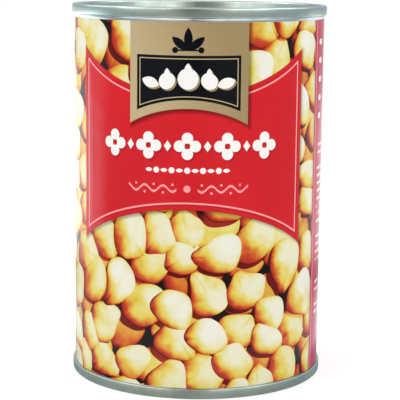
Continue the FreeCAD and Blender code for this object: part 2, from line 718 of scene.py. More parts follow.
def arc(centre: Point, radius: float, start: float, end: float, steps: int) -> list[Point]:
    """Points of an arc, in a plane of radius and height.

    Args:
        centre: The arc's centre.
        radius: Its radius.
        start: Where it starts, in degrees from the outward direction.
        end: Where it ends, in degrees.
        steps: How many straight pieces it is made of.

    Returns:
        The points, both ends included.
    """
    turns = (math.radians(start + (end - start) * step / steps) for step in range(steps + 1))
    return [(centre[0] + radius * math.cos(t), centre[1] + radius * math.sin(t)) for t in turns]


def turned_piece(name: str, outline: Sequence[Point], steps: int = 256) -> bpy.types.Object:
    """Turns an outline about the can's axis.

    Args:
        name: The piece's name.
        outline: Points of radius and height, in metres. The last one may be the first again.
        steps: How many faces there are round the axis.

    Returns:
        The piece, closed and with its faces outwards.
    """
    bare_selection()
    first = Vector((outline[0][0], 0.0, outline[0][1]))
    bpy.ops.mesh.primitive_plane_add(size=MM, location=first)
    piece = bpy.context.object
    piece.name = piece.data.name = name
    bpy.ops.object.transform_apply(location=True, rotation=True, scale=True)
    bpy.ops.object.mode_set(mode="EDIT")
    bpy.ops.mesh.select_all(action="SELECT")
    bpy.ops.mesh.merge(type="CENTER")
    for before, after in zip(outline, outline[1:]):
        move = (after[0] - before[0], 0.0, after[1] - before[1])
        bpy.ops.mesh.extrude_region_move(TRANSFORM_OT_translate={"value": move})
    bpy.ops.mesh.select_all(action="SELECT")
    bpy.ops.mesh.spin(steps=steps, angle=math.tau, center=(0, 0, 0), axis=(0, 0, 1))
    bpy.ops.mesh.select_all(action="SELECT")
    bpy.ops.mesh.remove_doubles(threshold=0.002 * MM)
    bpy.ops.mesh.normals_make_consistent(inside=False)
    bpy.ops.object.mode_set(mode="OBJECT")
    return piece


def shade_piece(piece: bpy.types.Object, sharp: float) -> None:
    """Smooths a piece's shading, apart from its sharp edges.

    Args:
        piece: The piece.
        sharp: Edges that turn by more degrees than this stay sharp.
    """
    take_up(piece)
    bpy.ops.object.shade_smooth_by_angle(angle=math.radians(sharp))


def bearing_of(x: float, y: float) -> float:
    """Degrees round from the front, towards +X first, from -180 to 180."""
    return math.degrees(math.atan2(x, -y))


def turn_by(degrees: float) -> float:
    """The same turn, from -180 to 180 degrees."""
    return (degrees + 180.0) % 360.0 - 180.0


def swell(vertex: bpy.types.MeshVertex, factor: float) -> None:
    """Moves a point of a mesh away from the can's axis.

    Args:
        vertex: The point.
        factor: Its new distance from the axis, over the old one.
    """
    vertex.co.x *= factor
    vertex.co.y *= factor


# ------------------------------------------------------------------------------------------- finishes


def new_material(name: str) -> tuple[bpy.types.Material, bpy.types.NodeTree, bpy.types.Node]:
    """Makes a material with one Principled shader.

    Args:
        name: The material's name.

    Returns:
        The material, its tree and the shader node.
    """
    material = bpy.data.materials.new(name)
    material.use_nodes = True
    tree = material.node_tree
    tree.nodes.clear()
    shader = tree.nodes.new("ShaderNodeBsdfPrincipled")
    end = tree.nodes.new("ShaderNodeOutputMaterial")
    tree.links.new(shader.outputs[0], end.inputs["Surface"])
    return material, tree, shader


def relief(shader: bpy.types.Node, tree: bpy.types.NodeTree, height: Value, depth: float) -> None:
    """Feeds a shader's normal from a height.

    Args:
        shader: The Principled shader.
        tree: Its tree.
        height: The height, about 0 to 1.
        depth: How much 1 stands out, in metres.
    """
    bump = tree.nodes.new("ShaderNodeBump")
    bump.inputs["Strength"].default_value = 1.0
    bump.inputs["Distance"].default_value = depth
    plug(tree, height, bump.inputs["Height"])
    tree.links.new(bump.outputs[0], shader.inputs["Normal"])


def object_place(tree: bpy.types.NodeTree) -> tuple[Value, Value, Value]:
    """The point's place in the part's frame, in metres."""
    return parts(Value(tree, tree.nodes.new("ShaderNodeTexCoord").outputs["Object"]))


def millimetre_place(tree: bpy.types.NodeTree) -> Value:
    """The point's place in the part's frame, in millimetres.

    Args:
        tree: The tree that the nodes go into.

    Returns:
        The place as a vector.
    """
    x, y, z = object_place(tree)
    scale = 1.0 / MM
    return vector(tree, x * scale, y * scale, z * scale)


@dataclass(frozen=True)
class HandlingMarks:
    """Marks of making and handling that every surface of the can has."""

    grain_along: float = 0.5
    grain_across: float = 7.0
    smudge_scale: float = 0.09
    # the lean of each set of scratches in radians, and where its chance pattern starts
    scratch_sets: tuple[Point, ...] = ((0.5, 0.0), (-0.9, 40.0))
    scratch_scale: tuple[float, float, float] = (0.09, 2.6, 0.5)
    scratch_run: Span = (0.70, 0.78)
    scratched_run: Span = (0.48, 0.60)

    def group(self) -> Group:
        """Builds the marks.

        Returns:
            A group that takes a place in millimetres and gives grain, smudge and scratch masks.
        """
        group = Group("handling_marks", {"Place": Kind.VECTOR}, numbers("Grain", "Smudge", "Scratch"))
        place = group.given["Place"]
        x, y, z = parts(place)
        grain_place = vector(group.tree, x * self.grain_along, y * self.grain_across, z * self.grain_across)
        grain = noise(grain_place, 1.0, 3.0, 0.6)
        smudge = noise(place, self.smudge_scale, 3.0, 0.55)
        streaks = []
        for lean, start in self.scratch_sets:
            along, across = turned(x + y * 0.6, z, math.degrees(lean))
            length_scale, width_scale, depth_scale = self.scratch_scale
            spread = vector(group.tree, along * length_scale + start, across * width_scale, y * depth_scale)
            streaks.append(noise(spread, 1.0, 1.0).rise(*self.scratch_run))
        scratch = streaks[0].most(streaks[1]) * smudge.rise(*self.scratched_run)
        group.give(Grain=grain, Smudge=smudge, Scratch=scratch)
        return group


@dataclass(frozen=True)
class Tinplate:
    """Rolled, tinned steel sheet.

    Attributes:
        name: The material's name.
        bright: Colour of the clean metal.
        dull: Colour where it is smudged.
        smooth: Roughness of the clean metal.
        rough: Roughness where it is smudged.
        grain_depth: Height of the rolling grain, in metres.
        grain_roughness: How much the grain changes the roughness.
        scratch_roughness: How much rougher a scratch is.
        scratch_depth: Height of a scratch over that of the grain.
        stain_run: The smudge value at which the metal starts to dull, and at which it is dull.
    """

    name: str
    bright: Colour
    dull: Colour
    smooth: float
    rough: float
    grain_depth: float
    grain_roughness: float = 0.10
    scratch_roughness: float = 0.12
    scratch_depth: float = 0.6
    stain_run: Span = (0.42, 0.66)

    def material(self, marks: Group) -> bpy.types.Material:
        """Builds the material.

        Args:
            marks: The group of handling marks.

        Returns:
            The material.
        """
        material, tree, shader = new_material(self.name)
        found = marks.place(tree, Place=millimetre_place(tree))
        grain, scratch = found["Grain"], found["Scratch"]
        stain = found["Smudge"].rise(*self.stain_run)
        plug(tree, blend(stain, self.bright, self.dull, tree), shader.inputs["Base Color"])
        shader.inputs["Metallic"].default_value = 1.0
        worn = stain * (self.rough - self.smooth) + self.smooth + (grain - 0.5) * self.grain_roughness
        plug(tree, worn + scratch * self.scratch_roughness, shader.inputs["Roughness"])
        relief(shader, tree, grain + scratch * self.scratch_depth, self.grain_depth)
        return material


@dataclass(frozen=True)
class RawPaper:
    """The unprinted back and cut edges of the label."""

    name: str = "raw_paper"
    smooth: float = 0.75
    smudge_roughness: float = 0.1

    def material(self, marks: Group) -> bpy.types.Material:
        """Builds the material.

        Args:
            marks: The group of handling marks.

        Returns:
            The material.
        """
        material, tree, shader = new_material(self.name)
        found = marks.place(tree, Place=millimetre_place(tree))
        colour = blend(found["Grain"], Ink.PAPER.value, Ink.CREAM.value, tree)
        plug(tree, colour, shader.inputs["Base Color"])
        plug(tree, found["Smudge"] * self.smudge_roughness + self.smooth, shader.inputs["Roughness"])
        return material


# ------------------------------------------------------------------------------------------- label print


class Printing:
    """The colour printed so far at a point of the label, as one field is laid over another."""

    def __init__(self, ground: Value) -> None:
        """Starts from the colour beneath."""
        self.colour = ground

    def lay(self, share: Value, colour: Union[Ink, Value]) -> None:
        """Covers what is printed so far with an ink, as far as the share says."""
        over = colour.value if isinstance(colour, Ink) else colour
        self.colour = blend(share, self.colour, over, share.tree)

    def shade(self, share: Value) -> None:
        """Takes a share of the light from what is printed so far."""
        self.colour = darken(self.colour, 1.0 - share)


@dataclass(frozen=True)
class Arch:
    """A field between two upright sides, hollowed by a round arch above and below. In millimetres.

    Attributes:
        half_width: From the middle to either side.
        top_middle: Height of the upper edge at the middle.
        top_radius: Radius of the upper edge, whose ends rise.
        bottom_middle: Height of the lower edge at the middle.
        bottom_radius: Radius of the lower edge, whose ends fall.
    """

    half_width: float
    top_middle: float
    top_radius: float
    bottom_middle: float
    bottom_radius: float

    def depth(self, x: Value, z: Value) -> Value:
        """How far a point lies inside the field's edge.

        Args:
            x: Place across, from the field's middle.
            z: Place up the can.

        Returns:
            The distance, below 0 outside.
        """
        sides = self.half_width - abs(x)
        top = length(x, z - (self.top_middle + self.top_radius)) - self.top_radius
        from_below = z - (self.bottom_middle - self.bottom_radius)
        bottom = (length(x, from_below) - self.bottom_radius).least(from_below)
        return sides.least(top).least(bottom)


@dataclass(frozen=True)
class SoftShadow:
    """The soft shadow that a field seems to cast on what is printed beneath it.

    Attributes:
        right: How far it falls to the right, in millimetres.
        down: How far it falls.
        run: The depth inside the moved field at which it starts, and at which it is full.
        strength: Share of the light that it takes away.
    """

    right: float
    down: float
    run: Span
    strength: float

    def of(self, field: Arch, x: Value, z: Value) -> Value:
        """Share of the light that a field's shadow takes away at a point."""
        return field.depth(x - self.right, z + self.down).rise(*self.run) * self.strength


@dataclass(frozen=True)
class FlowerRow:
    """A row of four-petalled flowers with lozenges between them. In millimetres."""

    middle: float = 72.4
    pitch: float = 11.2
    each_side: int = 2
    petal_reach: float = 2.2
    petal_radius: float = 1.6
    eye_radius: float = 0.8
    # a lozenge is where both ways, added up and scaled to a distance, are under its size
    lozenge_lean: float = 0.7
    lozenge_scale: float = 0.8
    lozenge_size: float = 0.85

    def outside(self, x: Value, y: Value) -> Value:
        """How far a point is outside the row.

        Args:
            x: The point's place across, from the face's middle.
            y: Its place up, from the row's middle.

        Returns:
            The distance, below 0 inside.
        """
        near = repeated(x, self.pitch, self.each_side)
        reach_x, reach_y = abs(near), abs(y)
        petals = disc(reach_x.most(reach_y) - self.petal_reach, reach_x.least(reach_y), self.petal_radius)
        flower = petals.most(-disc(near, y, self.eye_radius))
        away = abs(abs(abs(x) - self.pitch) - self.pitch / 2)
        lozenge = (away + abs(y) * self.lozenge_lean) * self.lozenge_scale - self.lozenge_size
        return flower.least(lozenge)


@dataclass(frozen=True)
class BeadRow:
    """A row of beads, round and long by turns. In millimetres."""

    middle: float = 65.6
    pitch: float = 4.4
    each_side: int = 2
    round_radius: float = 0.85
    long_half_length: float = 1.0
    long_half_width: float = 0.55
    half_length: float = 12.4

    def outside(self, x: Value, y: Value) -> Value:
        """How far a point is outside the row.

        Args:
            x: The point's place across, from the face's middle.
            y: Its place up, from the row's middle.

        Returns:
            The distance, below 0 inside.
        """
        round_bead = disc(repeated(x, self.pitch, self.each_side), y, self.round_radius)
        halfway = repeated(x - self.pitch / 2, self.pitch, self.each_side + 1)
        long_bead = leaf(halfway, y, self.long_half_length, self.long_half_width)
        return round_bead.least(long_bead.most(abs(x) - self.half_length))


@dataclass(frozen=True)
class WavingStem:
    """Two waving stems with a bud in the middle and buds in their bends. In millimetres."""

    middle: float = 60.4
    # radians to a millimetre
    turning: float = 1.15
    sway: float = 0.85
    stem_middle: float = 10.2
    stem_half_length: float = 7.2
    stem_half_width: float = 0.26
    # turns the height over the sloping wave into a distance from it
    stem_scale: float = 0.78
    bud_start: float = 4.1
    bud_pitch: float = 2.73
    bud_sway: float = 1.15
    bud_radius: float = 0.36
    bud_span: Span = (3.0, 15.2)
    middle_radius: float = 1.0

    def outside(self, x: Value, y: Value) -> Value:
        """How far a point is outside the stems and buds.

        Args:
            x: The point's place across, from the face's middle.
            y: Its place up, from the stems' middle.

        Returns:
            The distance, below 0 inside.
        """
        away = abs(x)
        bend = (away * self.turning).math("SINE")
        over = abs(y - bend * self.sway) * self.stem_scale - self.stem_half_width
        stem = over.most(abs(away - self.stem_middle) - self.stem_half_length)
        near = repeated(away - self.bud_start, self.bud_pitch, 4)
        bud = disc(near, y + bend * self.bud_sway, self.bud_radius)
        buds = bud.most(away - self.bud_span[1]).most(self.bud_span[0] - away)
        return stem.least(buds).least(disc(x, y, self.middle_radius))


@dataclass(frozen=True)
class PeasAndLeaves:
    """Three peas side by side, round with a beak on top, between two leaves. In millimetres."""

    middle: float = 91.0
    sag: float = 0.10
    # radius, height of the beak's middle, and half the beak's length and width
    middle_pea: tuple[float, float, float, float] = (2.9, 2.4, 1.9, 1.0)
    side_pea: tuple[float, float, float, float] = (2.3, 1.9, 1.6, 0.8)
    side_pitch: float = 5.9
    leaf_middle: float = 10.7
    leaf_turn: float = 24.0
    leaf_half_length: float = 2.7
    leaf_half_width: float = 1.4

    def outside(self, x: Value, y: Value) -> Value:
        """How far a point is outside the peas and leaves.

        Args:
            x: The point's place across, from the face's middle.
            y: Its place up, from the middle pea's middle.

        Returns:
            The distance, below 0 inside.
        """
        away = abs(x)
        sagging = away * self.sag
        middle = self.pea_outside(x, y, *self.middle_pea)
        lowered = y + sagging
        side = self.pea_outside(away - self.side_pitch, lowered, *self.side_pea)
        along, across = turned(away - self.leaf_middle, lowered, self.leaf_turn)
        tip = leaf(along, across, self.leaf_half_length, self.leaf_half_width)
        return middle.least(side).least(tip)

    def pea_outside(
        self, x: Value, y: Value, radius: float, beak: float, half_length: float, half_width: float
    ) -> Value:
        """How far a point is outside one pea and the beak that stands on it."""
        return disc(x, y, radius).least(leaf(y - beak, x, half_length, half_width))


@dataclass(frozen=True)
class Sprig:
    """A sprout of three leaves and two berries. In millimetres."""

    foot: float = 98.7
    middle_half_length: float = 3.2
    middle_half_width: float = 1.2
    side_turn: float = 40.0
    side_middle: float = 3.0
    side_half_length: float = 2.9
    side_half_width: float = 1.15
    berry_away: float = 3.6
    berry_height: float = 0.2
    berry_radius: float = 0.85
    stalk_height: float = 0.15
    stalk_half_width: float = 0.22
    stalk_half_length: float = 3.2

    def outside(self, x: Value, y: Value) -> Value:
        """How far a point is outside the sprig.

        Args:
            x: The point's place across, from the face's middle.
            y: Its place up, from the sprig's foot.

        Returns:
            The distance, below 0 inside.
        """
        upright = leaf(y - self.middle_half_length, x, self.middle_half_length, self.middle_half_width)
        along, across = turned(abs(x), y, self.side_turn)
        side_leaf = leaf(along - self.side_middle, across, self.side_half_length, self.side_half_width)
        berry = disc(abs(x) - self.berry_away, y - self.berry_height, self.berry_radius)
        over = abs(y - self.stalk_height) - self.stalk_half_width
        stalk = over.most(abs(x) - self.stalk_half_length)
        return upright.least(side_leaf).least(berry).least(stalk)


@dataclass(frozen=True)
class LabelFace:
    """The design of one face of the label: an arched red field under a gold banner with a dark plate."""

    field: Arch = Arch(36.5, 86.6, 60.0, 54.5, 64.0)
    field_shadow: SoftShadow = SoftShadow(0.5, 0.5, (-0.9, 0.5), 0.55)
    line_inset: float = 1.9
    line_half_width: float = 0.24
    line_shadow_inset: float = 1.4
    line_shadow_strength: float = 0.24
    edge_shade: float = 0.2
    banner: Arch = Arch(17.0, 140.0, 900.0, 82.8, 34.4)
    banner_shadow: SoftShadow = SoftShadow(0.6, 0.7, (-1.1, 0.4), 0.62)
    plate: Arch = Arch(14.8, 97.4, 900.0, 85.2, 36.8)
    plate_line_inset: float = 0.9
    plate_line_half_width: float = 0.13
    lift: float = 0.45
    flowers: FlowerRow = FlowerRow()
    beads: BeadRow = BeadRow()
    stems: WavingStem = WavingStem()
    peas: PeasAndLeaves = PeasAndLeaves()
    sprig: Sprig = Sprig()

    def group(self) -> Group:
        """Builds the face.

        Returns:
            A group that takes a place from the face's middle and the colour beneath, and gives the
            printed colour.
        """
        takes = {**numbers("X", "Z"), "Ground": Kind.COLOUR}
        group = Group("label_face", takes, {"Colour": Kind.COLOUR})
        x, z = group.given["X"], group.given["Z"]
        printing = Printing(group.given["Ground"])
        self.print_field(printing, x, z)
        self.print_rows(printing, x, z)
        self.print_banner(printing, x, z)
        group.give(Colour=printing.colour)
        return group

    def print_field(self, printing: Printing, x: Value, z: Value) -> None:
        """Prints the red field with its shadow, its darker edge and its pale line.

        Args:
            printing: What is printed so far.
            x: Place across, from the face's middle.
            z: Place up the can.
        """
        depth = self.field.depth(x, z)
        printing.shade(self.field_shadow.of(self.field, x, z))
        uneven = noise(vector(x.tree, x, z, 5.0), 0.05, 2.0)
        red = blend(uneven.rise(0.3, 0.7), Ink.RED.value, Ink.RED_DEEP.value, x.tree)
        printing.lay(printed(-depth), red)
        beside_line = abs(depth - self.line_shadow_inset) - self.line_half_width
        line_shadow = printed(beside_line, 0.4) * self.line_shadow_strength
        printing.shade(line_shadow + depth.rise(0.5, 0.0) * printed(-depth) * self.edge_shade)
        printing.lay(printed(abs(depth - self.line_inset) - self.line_half_width), Ink.ROSE)

    def print_rows(self, printing: Printing, x: Value, z: Value) -> None:
        """Prints the three rows of ornament across the red field.

        Args:
            printing: What is printed so far.
            x: Place across, from the face's middle.
            z: Place up the can.
        """
        flowers = self.flowers.outside(x, z - self.flowers.middle)
        shadow = self.flowers.outside(x - self.lift, z - self.flowers.middle + self.lift)
        printing.shade(printed(shadow, 0.5) * 0.35)
        printing.lay(printed(flowers), Ink.WHITE)
        printing.lay(printed(self.beads.outside(x, z - self.beads.middle)), Ink.WHITE)
        printing.lay(printed(self.stems.outside(x, z - self.stems.middle)), Ink.ROSE)

    def print_banner(self, printing: Printing, x: Value, z: Value) -> None:
        """Prints the banner with its shadow, its plate and the two motifs.

        Args:
            printing: What is printed so far.
            x: Place across, from the face's middle.
            z: Place up the can.
        """
        printing.shade(self.banner_shadow.of(self.banner, x, z))
        # the gold gets deeper to the right and upwards
        slope = (x * 0.030 + z * 0.012 - 0.62).rise(-0.1, 1.0)
        gold = blend(slope, Ink.GOLD.value, Ink.GOLD_DEEP.value, x.tree)
        printing.lay(printed(-self.banner.depth(x, z)), gold)
        plate = self.plate.depth(x, z)
        up = z - self.peas.middle
        printing.lay(printed(-plate), Ink.BLACK)
        printing.lay(printed(abs(plate - self.plate_line_inset) - self.plate_line_half_width), Ink.GOLD)
        printing.lay(printed(self.peas.outside(x - self.lift, up + self.lift)), Ink.GOLD_DEEP)
        printing.lay(printed(self.peas.outside(x, up)), Ink.WHITE)
        printing.lay(printed(self.sprig.outside(x, z - self.sprig.foot)), Ink.BLACK)


@dataclass(frozen=True)
class ValueTable:
    """The pale box of values, ruled in rows with a bar for each name and each figure. In millimetres."""

    middle: Point = (74.5, 89.0)
    half_size: Point = (18.5, 14.0)
    margin: float = 0.9
    row_pitch: float = 3.5
    rows_each_side: int = 3
    split: float = 7.0
    rule_half_width: float = 0.08
    name_start: float = -16.8
    shortest_name: float = 6.0
    name_growth: float = 6.0
    figure_middle: float = 12.2
    figure_half_length: float = 2.6
    bar_half_height: float = 0.55

    def print_on(self, printing: Printing, x: Value, z: Value) -> None:
        """Prints the table.

        Args:
            printing: What is printed so far.
            x: Place along the label.
            z: Place up the can.
        """
        in_x, in_z = x - self.middle[0], z - self.middle[1]
        box = (abs(in_x) - self.half_size[0]).most(abs(in_z) - self.half_size[1])
        printing.lay(printed(box), Ink.CREAM)
        inside = printed(box + self.margin)
        rules = printed(abs(repeated(in_z, self.row_pitch, self.rows_each_side)) - self.rule_half_width)
        split = printed(abs(in_x - self.split) - self.rule_half_width)
        in_row = in_z - self.row_pitch / 2
        near = repeated(in_row, self.row_pitch, self.rows_each_side)
        row = (in_row / self.row_pitch).math("ROUND")
        tail = chance(vector(x.tree, row, 9.0, 2.0))[0] * self.name_growth + self.shortest_name
        name_away = abs(in_x - self.name_start - tail / 2) - tail / 2
        names = name_away.most(abs(near) - self.bar_half_height)
        figure_away = abs(in_x - self.figure_middle) - self.figure_half_length
        figures = figure_away.most(abs(near) - self.bar_half_height)
        lines = rules.most(split).most(printed(names)).most(printed(figures))
        printing.lay(lines * inside, Ink.BLACK)


@dataclass(frozen=True)
class InformationField:
    """The full-height crimson field beside a face, its fine print shown as plain bars. In millimetres."""

    left: float = 45.0
    right: float = 97.0
    shadow_run: Span = (-1.8, 0.6)
    line_inset: float = 1.3
    line_half_width: float = 0.2
    text_left: float = 48.6
    text_right: float = 93.4
    ragged: float = 9.0
    indent: float = 0.8
    row_pitch: float = 2.3
    rows_top: float = 70.5
    rows_bottom: float = 18.5
    marks_along: float = 50.0
    marks_middle: float = 89.5
    marks_pitch: float = 5.4
    marks_each_side: int = 2
    mark_half_length: float = 1.4
    mark_half_width: float = 0.85
    table: ValueTable = ValueTable()

    def group(self) -> Group:
        """Builds the field.

        Returns:
            A group that takes a place on the label and the colour beneath, and gives the printed colour.
        """
        takes = {**numbers("X", "Z"), "Ground": Kind.COLOUR}
        group = Group("information_field", takes, {"Colour": Kind.COLOUR})
        x, z = group.given["X"], group.given["Z"]
        printing = Printing(group.given["Ground"])
        middle, half = (self.left + self.right) / 2, (self.right - self.left) / 2
        depth = half - abs(x - middle)
        printing.shade(depth.rise(*self.shadow_run) * 0.45)
        printing.lay(printed(-depth), Ink.CRIMSON)
        printing.lay(printed(abs(depth - self.line_inset) - self.line_half_width), Ink.ROSE)
        printing.lay(self.short_marks(x, z).most(self.fine_rows(x, z)), Ink.WHITE)
        self.table.print_on(printing, x, z)
        group.give(Colour=printing.colour)
        return group

    def short_marks(self, x: Value, z: Value) -> Value:
        """Coverage of the column of short marks at the field's left edge."""
        near = repeated(z - self.marks_middle, self.marks_pitch, self.marks_each_side)
        return printed(bar(x - self.marks_along, near, self.mark_half_length, self.mark_half_width))

    def fine_rows(self, x: Value, z: Value) -> Value:
        """Coverage of the rows of fine print, each a run of bars as long as words.

        Args:
            x: Place along the label.
            z: Place up the can.

        Returns:
            The coverage, 0 to 1.
        """
        line = z / self.row_pitch
        row = line.math("FLOOR")
        within = abs(line.math("FRACT") - 0.5)
        words = noise(vector(x.tree, x * 0.42, row * 5.7, 0.0), 1.0, 0.0).rise(0.36, 0.40)
        ragged, kept, start, _ = chance(vector(x.tree, row, 3.0, 1.0))
        started = (x - self.text_left - start * self.indent).above(0.0)
        ended = (self.text_right - ragged * self.ragged - x).above(0.0)
        across = started * ended
        up = (z - self.rows_bottom).above(0.0) * (self.rows_top - z).above(0.0)
        strokes = printed((within - 0.16) * self.row_pitch, 0.15)
        return strokes * words * across * up * kept.above(0.2) * 0.8


@dataclass(frozen=True)
class PrintedPaper:
    """Coated paper with the label's print."""

    name: str = "printed_paper"
    # how far along the label the second face is, in millimetres
    second_face: float = -92.0
    # how far the palest ink of the peas moves the fields over them, in millimetres
    ink_creep: float = 0.002
    smooth: float = 0.12
    smudge_roughness: float = 0.12
    index: float = 1.42
    sheen: float = 0.25
    gloss: float = 0.06
    gloss_roughness: float = 0.14
    fibre_scale: float = 1.6
    smudge_height: float = 1.5
    fibre_depth: float = 0.01 * MM

    def material(self, marks: Group, sheet_map: str) -> bpy.types.Material:
        """Builds the material.

        Args:
            marks: The group of handling marks.
            sheet_map: Name of the map whose U and V are millimetres along and up the paper.

        Returns:
            The material.
        """
        material, tree, shader = new_material(self.name)
        node = tree.nodes.new("ShaderNodeUVMap")
        node.uv_map = sheet_map
        x, z, _ = parts(Value(tree, node.outputs["UV"]))
        place = vector(tree, x, z, 0.0)
        peas = PeaHeap().group().place(tree, X=x, Y=z)
        # the fields wait for the peas, so that few numbers are in hand at a time
        x = x + peas["Tone"] * self.ink_creep
        z = z + peas["Tone"] * self.ink_creep
        colour = InformationField().group().place(tree, X=x, Z=z, Ground=peas["Colour"])["Colour"]
        past_halfway = (-x).above(-0.5 * self.second_face)
        from_middle = x - past_halfway * self.second_face
        colour = LabelFace().group().place(tree, X=from_middle, Z=z, Ground=colour)["Colour"]
        found = marks.place(tree, Place=place)
        plug(tree, colour, shader.inputs["Base Color"])
        plug(tree, found["Smudge"] * self.smudge_roughness + self.smooth, shader.inputs["Roughness"])
        shader.inputs["IOR"].default_value = self.index
        shader.inputs["Specular IOR Level"].default_value = self.sheen
        shader.inputs["Coat Weight"].default_value = self.gloss
        shader.inputs["Coat Roughness"].default_value = self.gloss_roughness
        fibre = noise(place, self.fibre_scale, 3.0, 0.6)
        relief(shader, tree, fibre + found["Smudge"] * self.smudge_height, self.fibre_depth)
        return material


# ------------------------------------------------------------------------------------------- sub-assemblies


def settle(piece: bpy.types.Object, node: str, materials: Sequence[bpy.types.Material]) -> None:
    """Dresses a piece and ties it to the part.

    Args:
        piece: The finished piece.
        node: The CAD node that it stands for.
        materials: Its materials, in slot order.
    """
    for material in materials:
        piece.data.materials.append(material)
    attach(piece, BODY)
    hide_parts(node)
    LOG.info("%s stands for %s: %d faces", piece.name, node, len(piece.data.polygons))


@dataclass
class TinBody:
    """The rolled sheet of the body, with its welded side seam at the back. Lengths are in metres.

    Attributes:
        plate: Thickness of the sheet.
        around: How many faces there are round the axis.
        neck_height: Height of the flare under the top seam.
        neck_flare: How far the flare widens the body.
        neck_curve: Power by which the flare turns outwards, 1 for a straight cone.
        neck_steps: How many straight pieces the flare is made of.
        neck_turn: Radius of the flare's rounded upper edge.
        weld_bearing: Where the side seam is, in degrees round from the front.
        weld_half_width: Half the side seam's width.
        weld_height: How far the side seam stands out.
    """

    plate: float = 0.20 * MM
    around: int = 288
    neck_height: float = 1.0 * MM
    neck_flare: float = 0.44 * MM
    neck_curve: float = 1.7
    neck_steps: int = 8
    neck_turn: float = 0.14 * MM
    weld_bearing: float = 176.0
    weld_half_width: float = 0.9 * MM
    weld_height: float = 0.06 * MM

    def build(self, finish: bpy.types.Material) -> bpy.types.Object:
        """Builds and dresses the body.

        Args:
            finish: Its material.

        Returns:
            The piece.
        """
        low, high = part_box("can_body")
        radius = high.x
        back = radius - self.plate
        outline = [(back, low.z), (radius, low.z), (radius, (low.z + high.z) / 2)]
        brim = high.z - self.neck_turn
        for step in range(self.neck_steps + 1):
            share = step / self.neck_steps
            flared = radius + self.neck_flare * share**self.neck_curve
            outline.append((flared, brim - self.neck_height * (1.0 - share)))
        turn_middle = radius + self.neck_flare - self.neck_turn
        outline += arc((turn_middle, brim), self.neck_turn, 0, 90, 6)[1:]
        outline += [(back, high.z), (back, low.z)]
        piece = turned_piece("tin_body", outline, self.around)
        self.raise_weld(piece, radius)
        shade_piece(piece, 35.0)
        settle(piece, "can_body", [finish])
        return piece

    def raise_weld(self, piece: bpy.types.Object, radius: float) -> None:
        """Thickens the sheet where its edges lap at the side seam.

        Args:
            piece: The body.
            radius: Its outer radius.
        """
        for vertex in piece.data.vertices:
            away = turn_by(bearing_of(vertex.co.x, vertex.co.y) - self.weld_bearing)
            outside = math.hypot(vertex.co.x, vertex.co.y) >= radius - self.plate / 2
            if outside and abs(math.radians(away)) * radius < self.weld_half_width:
                swell(vertex, 1.0 + self.weld_height / radius)


class Side(Enum):
    """The two ends of the can, each with its CAD node and the way that it faces."""

    TOP = ("top_end", 1)
    BOTTOM = ("bottom_end", -1)


